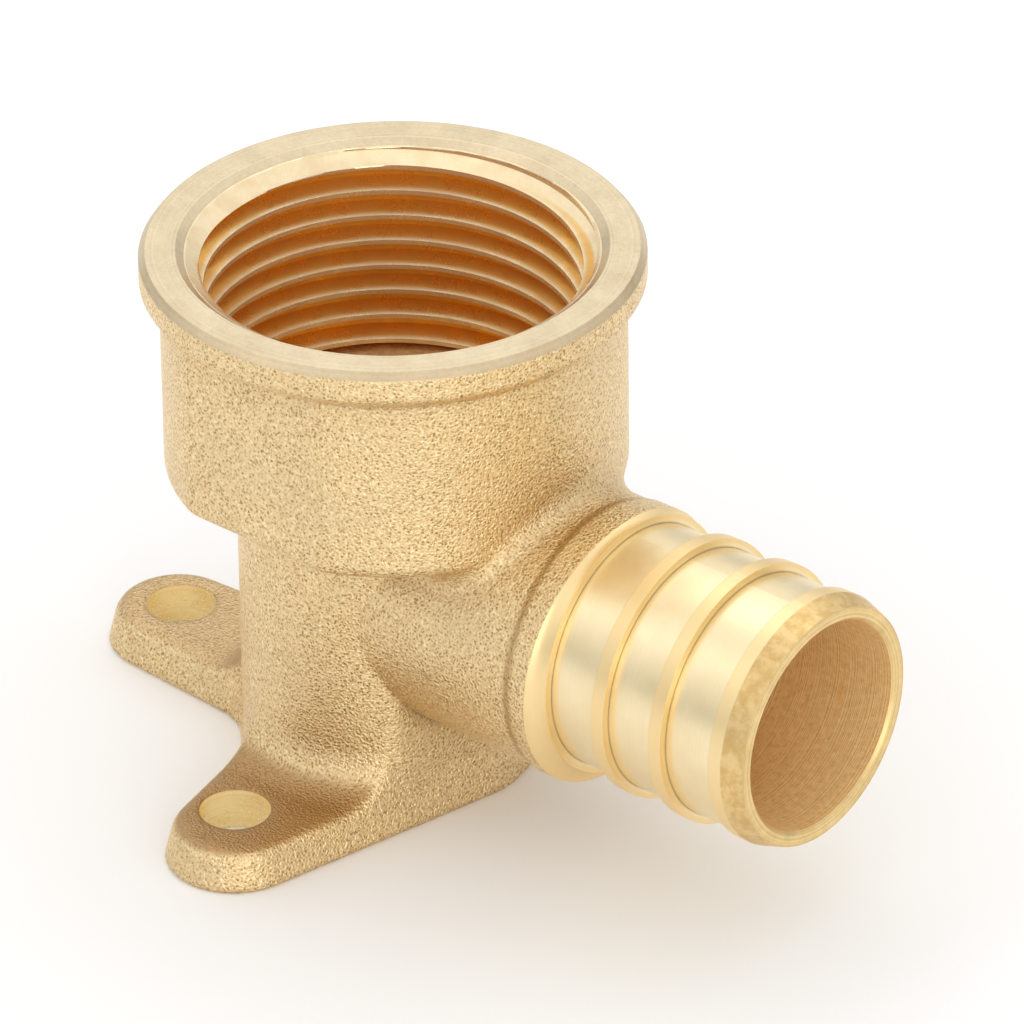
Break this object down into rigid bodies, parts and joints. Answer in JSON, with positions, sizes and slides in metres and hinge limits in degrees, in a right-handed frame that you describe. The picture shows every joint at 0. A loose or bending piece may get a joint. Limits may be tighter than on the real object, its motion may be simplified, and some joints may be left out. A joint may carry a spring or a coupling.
{
  "type": "pex transition fitting",
  "caption": "Brass drop-ear elbow: a female pipe-thread socket turned through a right angle to a ribbed barb for plastic tube, on a wall flange with screw ears.",
  "frame": {"origin": "on the socket axis, in the plane of the flange's underside, which is the wall plane", "axes": "+Z along the socket axis and out of its mouth, +X along the barb axis and out of its end"},
  "size_m": [0.059, 0.0432, 0.0372],
  "materials": {
    "brass": "blasted forging with turned satin faces"
  },
  "bodies": {
    "root": {"elbow_body": "brass"}
  },
  "joints": []
}
